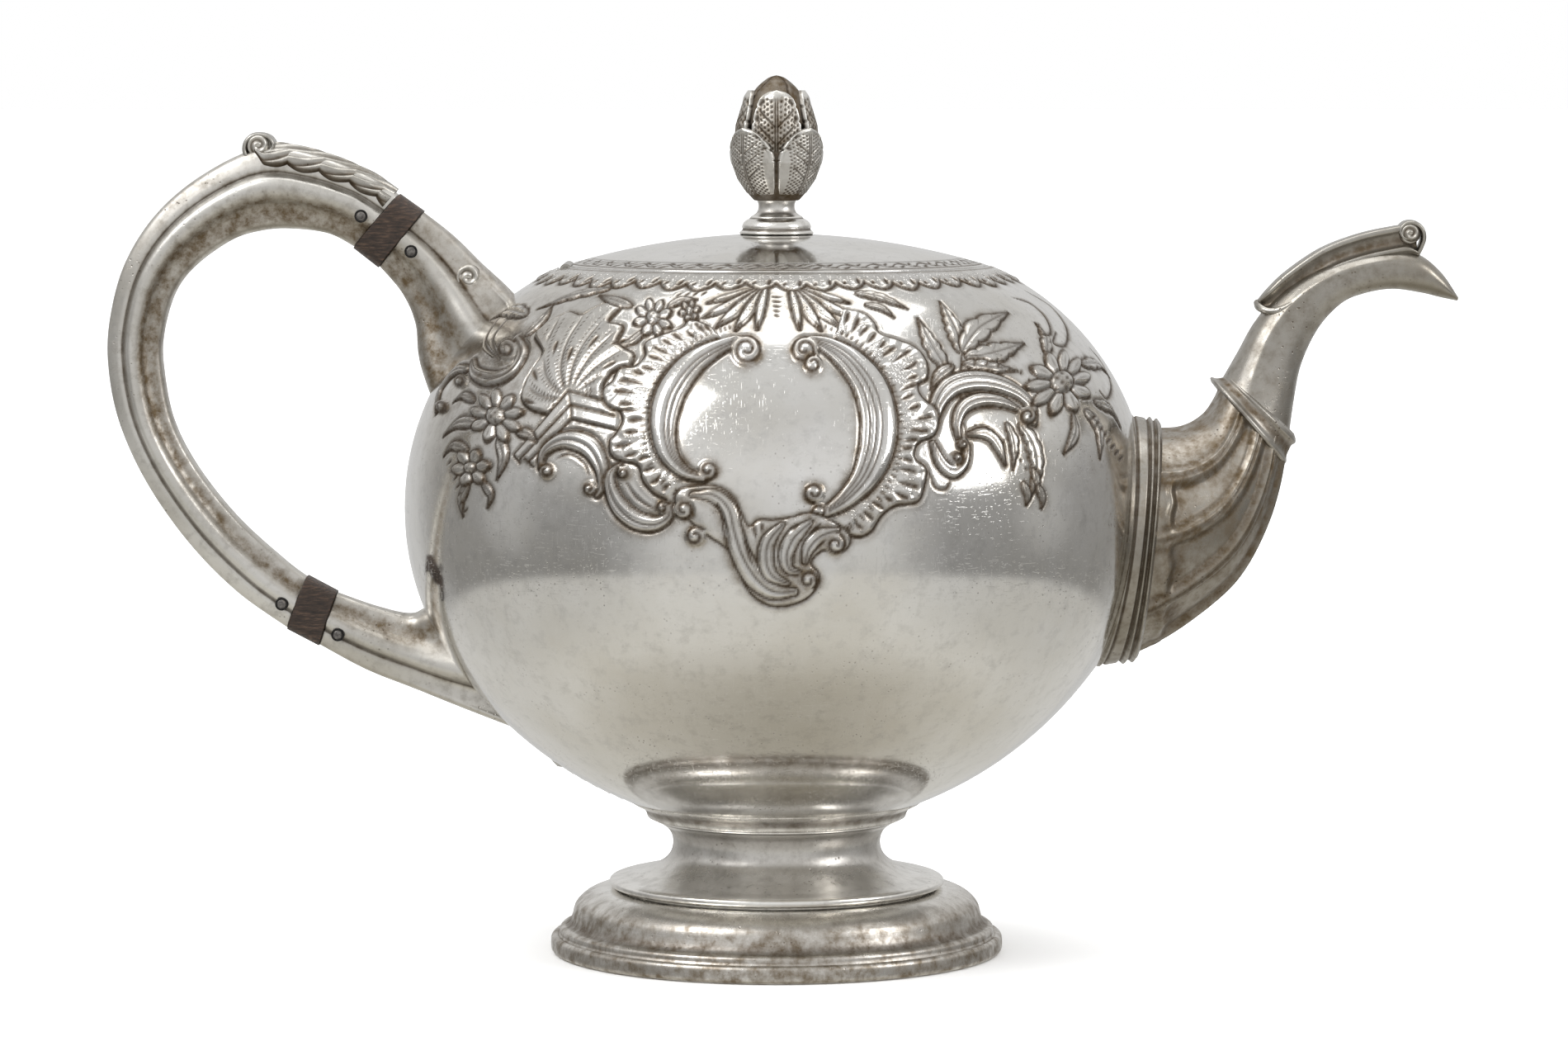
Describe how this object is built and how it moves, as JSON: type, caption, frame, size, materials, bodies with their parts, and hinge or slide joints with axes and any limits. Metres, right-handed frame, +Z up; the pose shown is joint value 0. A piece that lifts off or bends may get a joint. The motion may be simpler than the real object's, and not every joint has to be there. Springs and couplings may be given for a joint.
{
  "type": "teapot",
  "caption": "Footed spherical silver teapot with a flush hinged lid, a bud finial, a cast scroll spout and a scroll handle with wood insulators.",
  "frame": {"origin": "centre of the flat face under the foot's rim, on the pot's vertical axis", "axes": "+Z up, +X towards the spout, -X towards the handle, Y across the pot"},
  "size_m": [0.2535, 0.1394, 0.165],
  "materials": {
    "silver_polished": "polished, chased, with dark tarnish in the lines",
    "silver_cast": "satin, cast and chased, with brown tarnish in the hollows",
    "insulator_wood": "dark hardwood, oiled",
    "pin_steel": "dull grey"
  },
  "bodies": {
    "pot": {"body_shell": "silver_polished", "rim_ledge": "silver_polished", "foot_collar": "silver_cast", "foot_neck": "silver_cast", "foot_base": "silver_cast", "foot_rim": "silver_cast", "spout_collar": "silver_cast", "spout_lower": "silver_cast", "spout_band": "silver_cast", "spout_upper": "silver_cast", "spout_leaf": "silver_cast", "handle_grip": "silver_cast", "thumb_leaf": "silver_cast", "upper_socket": "silver_cast", "lower_socket": "silver_cast", "upper_insulator": "insulator_wood", "lower_insulator": "insulator_wood", "upper_grip_side_pin": "pin_steel", "upper_socket_side_pin": "pin_steel", "lower_grip_side_pin": "pin_steel", "lower_socket_side_pin": "pin_steel", "hinge_body_leaf": "silver_polished", "hinge_pin": "silver_polished"},
    "lid": {"hinge_lid_leaf": "silver_polished", "lid_shell": "silver_polished", "lid_bezel": "silver_polished", "finial_base": "silver_cast", "finial_lower_bud": "silver_cast", "finial_upper_bud": "silver_cast", "finial_stud": "silver_cast", "finial_washer": "silver_cast", "finial_nut": "silver_cast"}
  },
  "joints": [
    {"name": "lid_hinge", "type": "hinge", "parent": "pot", "child": "lid", "pos_m": [-0.0393, 0, 0.1289], "axis": [0, -1, 0], "range_deg": [0, 95]}
  ]
}
